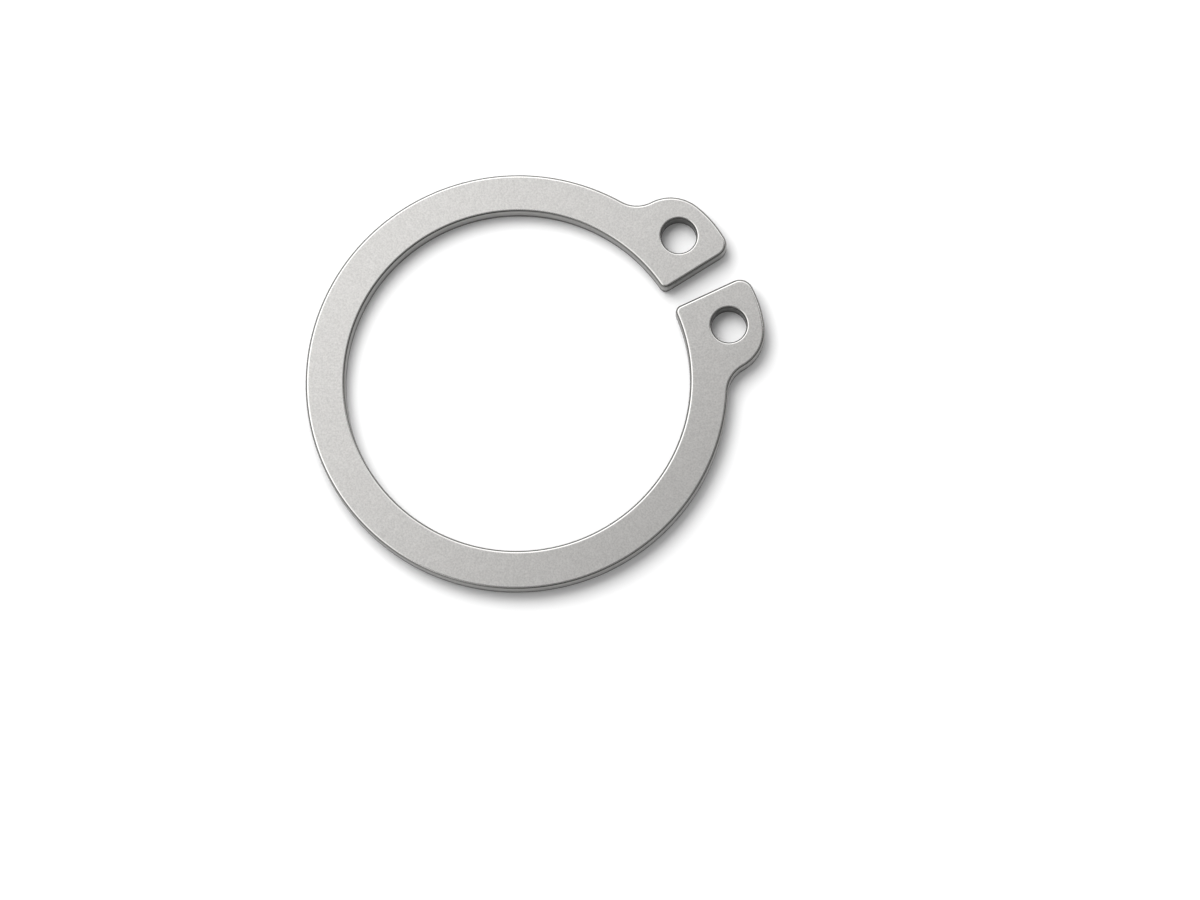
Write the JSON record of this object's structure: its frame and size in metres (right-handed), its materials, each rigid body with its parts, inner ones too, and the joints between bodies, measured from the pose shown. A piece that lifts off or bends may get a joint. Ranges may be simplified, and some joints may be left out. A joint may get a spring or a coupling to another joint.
{
  "type": "retaining ring",
  "caption": "Flat external circlip: an open spring steel ring with rounded edges and a drilled lug on each side of the split.",
  "frame": {"origin": "on the axis of the bore, in the plane of the underside", "axes": "+Z along the bore axis, up through the thickness; +Y from the bore axis through the middle of the split; +X completes a right-handed frame, towards the right lug seen from above"},
  "size_m": [0.0226, 0.0249, 0.0012],
  "materials": {
    "ring_steel": "tumbled, satin grey spring steel"
  },
  "bodies": {
    "root": {"circlip": "ring_steel"}
  },
  "joints": []
}
